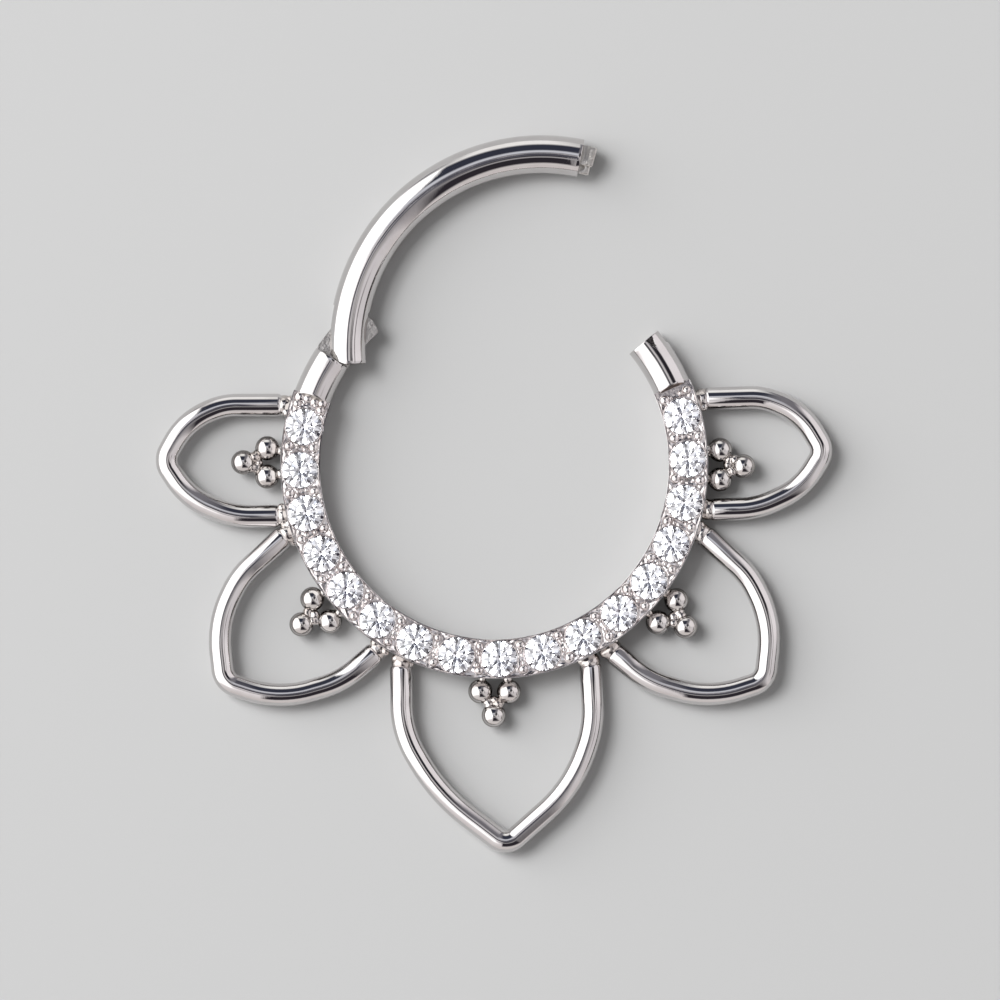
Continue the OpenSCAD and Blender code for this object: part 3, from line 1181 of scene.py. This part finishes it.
@dataclass
class Petal:
    """A petal of bent wire, soldered to the band at its two feet."""

    name: str
    feet: Pair
    bends: list[Triple]
    angle: float
    side: int
    seed: int
    wire_r: float = 0.355
    z: float = 0.5
    foot_r: float = 6.92
    band_r: float = 6.72
    neck_r: float = 0.335
    neck_taper: float = 0.022
    neck_step: float = 0.05
    neck_start: float = 0.04
    neck_drops: int = 5
    drop_across: Pair = (0.16, 0.27)
    drop_out: Pair = (-0.02, 0.12)
    drop_rise: Pair = (0.0, 0.2)
    drop_r: Pair = (0.12, 0.17)

    def path(self) -> list[Triple]:
        """Returns the wire's corners and bend radii in the ring's frame."""
        ends = [(across, math.sqrt(self.foot_r**2 - across**2), 0.0) for across in self.feet]
        out = []
        for across, away, bend in (ends[0], *self.bends, ends[1]):
            spot = turn_z(self.angle) @ Vector((away, self.side * across, 0))
            out.append((spot.x, spot.y, bend))
        return out

    def drops(self) -> Drops:
        """Returns the solder drops at both feet."""
        chance = random.Random(self.seed)
        draw = chance.uniform
        path = self.path()
        spots = []
        for x, y, _ in (path[0], path[-1]):
            foot = math.degrees(math.atan2(y, x))
            rows = []
            for k in range(self.neck_drops):
                r = self.foot_r - self.neck_start - self.neck_step * k
                rows.append((r, 0.0, 0.0, self.neck_r - self.neck_taper * k))
            for side in (-1, 1, chance.choice((-1, 1))):
                across = side * draw(*self.drop_across)
                r = draw(*(self.band_r + out for out in self.drop_out))
                rows.append((r, across, draw(*self.drop_rise), draw(*self.drop_r)))
            for r, across, rise, size in rows:
                at = polar(r, foot + math.degrees(across / self.foot_r), self.z + rise)
                spots.append((at, size))
        return spots

    def build(self) -> None:
        """Builds the wire."""
        maker = Maker(f"petal_{self.name}", MIRROR)
        wire = RoundWire(self.wire_r, sides=40, edge=0.16, bend_step=3.0)
        wire.along(maker, self.path(), self.z)
        maker.face_out()
        maker.smooth(40.0)
        maker.finish()


@dataclass
class Trefoil:
    """Three balls soldered to each other and to the band, each set one by one as in the photo."""

    name: str
    near: tuple[Pair, Pair]
    far: Pair
    seed: int
    ball_r: float = 0.385
    z: float = 0.5
    band_r: float = 6.72
    # along the joint, up and radius
    joint_drops: tuple[Triple, ...] = ((-0.07, 0.0, 0.15), (0.07, 0.05, 0.15), (0.0, -0.06, 0.14))
    # out from the band and up
    band_drops: tuple[Pair, ...] = ((0.02, 0.06), (0.09, 0.0))
    joint_nudge: float = 0.04
    joint_pull: float = 0.05
    joint_spread: Pair = (0.95, 1.2)
    band_drop_r: float = 0.14
    band_drop_slide: float = 0.5
    middle_drop_r: float = 0.15
    middle_drop_rise: float = 0.02
    spread: Pair = (0.9, 1.2)

    def drops(self) -> Drops:
        """Returns the solder drops between the balls and at the band."""
        draw = random.Random(self.seed).uniform
        third = polar(*self.far, self.z)
        near = [polar(*spot, self.z) for spot in self.near]
        spots = []
        for ball, (_, angle) in zip(near, self.near):
            joint = (ball + third) / 2
            ahead = (third - ball).normalized()
            inwards = (((near[0] + near[1]) / 2 + third) / 2 - joint).normalized()
            for along, rise, size in self.joint_drops:
                stray = self.joint_nudge
                nudge = Vector((draw(-stray, stray), draw(-stray, stray), rise))
                at = joint + ahead * along + nudge + inwards * self.joint_pull
                spots.append((at, size * draw(*self.joint_spread)))
            for out, rise in self.band_drops:
                size = self.band_drop_r * draw(*self.spread)
                slid = angle + draw(-self.band_drop_slide, self.band_drop_slide)
                spots.append((polar(self.band_r + out, slid, self.z + rise), size))
        between = (near[0] + near[1] + third) / 3 + UP * self.middle_drop_rise
        spots.append((between, self.middle_drop_r * draw(*self.spread)))
        return spots

    def build(self) -> None:
        """Builds the balls."""
        maker = Maker(f"trefoil_{self.name}", BALL)
        for spot in (*self.near, self.far):
            bmesh.ops.create_uvsphere(
                maker.bm, u_segments=48, v_segments=24, radius=self.ball_r,
                matrix=Matrix.Translation(polar(*spot, self.z)),
            )
        maker.face_out()
        maker.smooth(180.0)
        maker.finish()


@dataclass
class Solder:
    """The solder at the petals' feet and round the balls, run together into smooth drops."""

    voxel: float = 0.024
    rounds: int = 3
    seed: int = 3

    def build(self, spots: Drops) -> None:
        """Builds all the drops as one piece."""
        maker = Maker("solder_joints", SOLDER)
        lumps(maker, spots, random.Random(self.seed))
        maker.run_together(self.voxel, self.rounds)
        maker.smooth(180.0)
        maker.finish()


MIDDLE_BENDS = [
    (-3.15, 8.3, 3.2), (-2.05, 10.3, 6.0), (0.05, 12.0, 0.5), (2.2, 10.2, 4.4), (2.9, 8.3, 3.4),
]
SIDE_BENDS = [
    (-2.05, 8.1, 3.0), (-1.2, 9.95, 3.4), (0.35, 10.9, 0.6), (1.9, 9.85, 3.3), (2.55, 8.35, 2.6),
]
UPPER_BENDS = [
    (-1.6, 8.25, 2.8), (-1.0, 9.65, 2.3), (0.15, 10.4, 0.6), (1.4, 9.7, 2.2), (1.9, 8.5, 2.0),
]
PETALS = [
    Petal("middle", (-3.1, 2.85), MIDDLE_BENDS, -90.0, 1, seed=1),
    Petal("side_right", (-2.05, 2.6), SIDE_BENDS, -42.0, 1, seed=2),
    Petal("side_left", (-2.05, 2.6), SIDE_BENDS, -141.0, -1, seed=3),
    Petal("upper_right", (-1.6, 1.9), UPPER_BENDS, 0.0, 1, seed=4),
    Petal("upper_left", (-1.6, 1.9), UPPER_BENDS, 178.5, -1, seed=5),
]
TREFOILS = [
    Trefoil("middle", ((7.14, -95.1), (7.15, -87.9)), (7.88, -91.7), seed=1),
    Trefoil("side_right", ((7.15, -45.5), (7.14, -38.2)), (7.88, -41.8), seed=2),
    Trefoil("side_left", ((7.11, -145.2), (7.14, -138.0)), (7.87, -142.0), seed=3),
    Trefoil("upper_right", ((7.12, -5.3), (7.13, 2.2)), (7.84, -1.9), seed=4),
    Trefoil("upper_left", ((7.16, 174.2), (7.16, 181.3)), (7.9, 177.8), seed=5),
]


# ---------------------------------------------------------------- carried-over solids


class CarriedOver:
    """The stones and the hinge pin, which keep their solids and get their finishes here."""

    @staticmethod
    def dress() -> None:
        """Gives each of these nodes its material."""
        for name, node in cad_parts.items():
            if name.startswith("stone_") or name == "hinge_pin":
                finish: Finish = SATIN if name == "hinge_pin" else STONE
                node.data.materials.clear()
                node.data.materials.append(finish.material())
                LOG.info("%s: dressed", name)


# ---------------------------------------------------------------- studio


@dataclass(frozen=True)
class Patch:
    """A soft-edged patch of the studio as a mirror ball of radius 1 shows it.

    Each edge is a direction in degrees, a distance from the ball's middle and a softness. The patch
    lies on the near side of all its edges.
    """

    colour: Triple
    edges: tuple[Triple, ...]


PATCHES = (
    # greyer wall on the lower right
    Patch((0.84, 0.81, 0.83), ((90, -0.04, 0.05), (180, -0.12, 0.05))),
    # pinkish wall towards the bottom
    Patch((0.82, 0.775, 0.765), ((90, -0.38, 0.2),)),
    # grey ceiling towards the top, with a light panel in it
    Patch((0.34, 0.345, 0.36), ((270, -0.5, 0.06), (0, 0.4, 0.12))),
    Patch((1.2, 1.2, 1.18), ((270, -0.5, 0.04), (0, 0.14, 0.08), (180, 0.26, 0.08))),
    # dim strips on the right wall, beside the camera
    Patch(
        (0.62, 0.6, 0.6),
        ((180, -0.1, 0.02), (0, 0.2, 0.03), (90, 0.12, 0.06), (270, 0.12, 0.06)),
    ),
    Patch(
        (0.2, 0.19, 0.2),
        ((180, -0.2, 0.012), (0, 0.245, 0.012), (90, 0.12, 0.04), (270, 0.05, 0.04)),
    ),
    Patch(
        (0.3, 0.28, 0.29),
        ((180, -0.34, 0.012), (0, 0.385, 0.012), (90, 0.05, 0.04), (270, 0.14, 0.04)),
    ),
    # dark room above the camera
    Patch((0.045, 0.05, 0.075), ((-26.6, 0.018, 0.02), (270, -0.06, 0.02), (90, 0.5, 0.04))),
    Patch((0.24, 0.235, 0.26), ((-23.4, 0.16, 0.05), (156.6, 0.02, 0.04), (270, -0.12, 0.06))),
    Patch((0.035, 0.03, 0.038), ((168.6, 0.005, 0.012), (40.4, 0.02, 0.07), (270, 0.47, 0.04))),
    Patch(
        (0.11, 0.11, 0.14),
        ((170, 0.04, 0.01), (0, 0.09, 0.014), (90, 0.1, 0.03), (270, 0.08, 0.03)),
    ),
    # dark double line on the wall towards the upper right
    Patch(
        (0.03, 0.028, 0.035),
        ((119, 0.07, 0.03), (-61, 0.09, 0.03), (209, -0.12, 0.02), (29, 0.31, 0.02)),
    ),
    Patch(
        (0.75, 0.73, 0.74),
        ((119, 0.04, 0.02), (-61, 0.05, 0.02), (209, -0.02, 0.015), (29, 0.1, 0.015)),
    ),
    Patch(
        (0.08, 0.08, 0.09),
        ((119, 0.03, 0.015), (-61, 0.03, 0.015), (209, 0.09, 0.015), (29, -0.01, 0.015)),
    ),
    # dark gap at the edge of the right wall
    Patch(
        (0.02, 0.018, 0.02),
        ((-20, 0.73, 0.02), (160, -0.645, 0.015), (270, 0.33, 0.04), (90, 0.2, 0.08)),
    ),
    # the bright box on the left
    Patch(
        (2.0, 2.0, 2.0),
        ((21, -0.06, 0.014), (-16.7, -0.06, 0.04), (90, 0.52, 0.03), (280.5, 0.235, 0.05)),
    ),
    # thin light bars across the dark room
    Patch(
        (0.78, 0.8, 0.87),
        ((270, -0.08, 0.02), (90, 0.19, 0.03), (0, 0.09, 0.04), (180, 0.13, 0.03)),
    ),
    Patch(
        (0.45, 0.44, 0.45),
        ((270, 0.19, 0.012), (90, -0.13, 0.012), (0, 0.09, 0.03), (180, 0.09, 0.03)),
    ),
)


# name, place in metres, side in metres and power in watts
LAMPS = (
    ("key", (-0.285, 0.196, 0.525), 0.26, 2.05),
    ("side", (-0.472, 0.191, 0.318), 0.5, 2.5),
)


@dataclass
class Studio:
    """The floor, the lights and the camera."""

    photo_scale: float = 31.72
    photo_centre: Pair = (494.2, 465.0)
    photo_size: float = 1000.0
    roll: float = 1.6
    height: float = 300.0
    sensor: float = 36.0
    floor_z: float = -0.01
    walls: Triple = (1.09, 1.055, 1.075)
    fill: float = 0.31
    sparkle: float = 1.5
    floor_half: float = 1.0
    nearest: float = 0.01

    def floor(self) -> None:
        """Makes the plain floor that the ring lies on."""
        bm = bmesh.new()
        bmesh.ops.create_grid(bm, x_segments=1, y_segments=1, size=self.floor_half)
        bmesh.ops.translate(bm, vec=(0, 0, self.floor_z * METRES), verts=bm.verts)
        mesh = bpy.data.meshes.new("floor")
        bm.to_mesh(mesh)
        bm.free()
        mesh.materials.append(FLOOR.material())
        made = add_object("floor", mesh)

    def camera(self) -> None:
        """Makes the camera, straight above and rolled as in the photo."""
        data = bpy.data.cameras.new("camera")
        data.sensor_width = self.sensor
        data.lens = self.sensor * self.height * self.photo_scale / self.photo_size
        data.clip_start = self.nearest
        half = self.photo_size / 2
        x = (half - self.photo_centre[0]) / self.photo_scale
        y = -(half - self.photo_centre[1]) / self.photo_scale
        spot = turn_z(-self.roll) @ Vector((x, y, 0.0))
        made = add_object("camera", data)
        made.location = (spot.x * METRES, spot.y * METRES, self.height * METRES)
        made.rotation_euler = (0, 0, -math.radians(self.roll))
        bpy.context.scene.camera = made

    def lamps(self) -> None:
        """Adds the square soft lights, which face the ring and stay out of its reflections."""
        for name, at, size, power in LAMPS:
            data = bpy.data.lights.new(name, "AREA")
            data.shape = "SQUARE"
            data.size = size
            data.energy = power
            made = add_object(name, data)
            made.location = at
            made.rotation_mode = "QUATERNION"
            made.rotation_quaternion = (-Vector(at)).to_track_quat("-Z", "Y")
            made.visible_glossy = False

    def mirror_ball(self, g: Graph) -> NodeSocket:
        """Returns where a mirror ball shows a ray's direction, as x and y with a z of 1."""
        ray = g.node("ShaderNodeTexCoord").outputs["Generated"]
        lift = g.maths("MAXIMUM", g.dot(ray, (0.0, 0.0, 2.0)), -1.96)
        spot = g.node("ShaderNodeVectorMath", operation="SCALE")
        g.feed(spot.inputs[0], ray)
        g.feed(spot.inputs["Scale"], g.maths("POWER", g.maths("ADD", lift, 2.0), -0.5))
        flat = g.node("ShaderNodeVectorMath", operation="MULTIPLY_ADD")
        for socket, value in zip(flat.inputs, (spot.outputs[0], (1.0, 1.0, 0.0), (0.0, 0.0, 1.0))):
            g.feed(socket, value)
        return flat.outputs[0]

    def sky(self) -> None:
        """Makes the studio round the ring from its patches, with an even one for the floor."""
        world = bpy.data.worlds.new("studio")
        world.use_nodes = True
        bpy.context.scene.world = world
        g = Graph(world.node_tree)
        ball = self.mirror_ball(g)
        colour: object = (*self.walls, 1.0)
        for patch in PATCHES:
            mask: object = None
            for angle, distance, soft in patch.edges:
                edge = g.dot(ball, tuple(polar(-0.5 / soft, angle, (distance + soft) / (2 * soft))))
                mask = edge if mask is None else g.maths("MINIMUM", mask, edge)
            colour = g.mix(mask, colour, (*patch.colour, 1.0))
        path = g.node("ShaderNodeLightPath").outputs
        sparkle = g.maths("MULTIPLY", path["Is Transmission Ray"], self.sparkle - 1.0)
        seen = world.node_tree.nodes["Background"]
        g.fill(seen, {"Color": colour, "Strength": g.maths("ADD", sparkle, 1.0)})
        even = g.node("ShaderNodeBackground")
        even.inputs["Strength"].default_value = self.fill
        either = g.node("ShaderNodeMixShader")
        given = (path["Is Diffuse Ray"], seen.outputs[0], even.outputs[0])
        for socket, value in zip(either.inputs, given):
            g.feed(socket, value)
        g.feed(world.node_tree.nodes["World Output"].inputs["Surface"], either.outputs[0])

    def build(self) -> None:
        """Builds the studio."""
        self.floor()
        self.sky()
        self.lamps()
        self.camera()
        bpy.context.scene.view_settings.view_transform = "Standard"


def main() -> None:
    """Builds the ring's pieces in order, then the studio."""
    logging.basicConfig(level=logging.INFO, format="%(name)s %(message)s")
    wire = RingWire()
    PaveBand().build()
    Stubs(wire).build()
    Gate(wire).build()
    for petal in PETALS:
        petal.build()
    for trefoil in TREFOILS:
        trefoil.build()
    Solder().build([drop for piece in (*PETALS, *TREFOILS) for drop in piece.drops()])
    CarriedOver.dress()
    Studio().build()
    LOG.info("boxes written")


if __name__ == "__main__":
    main()
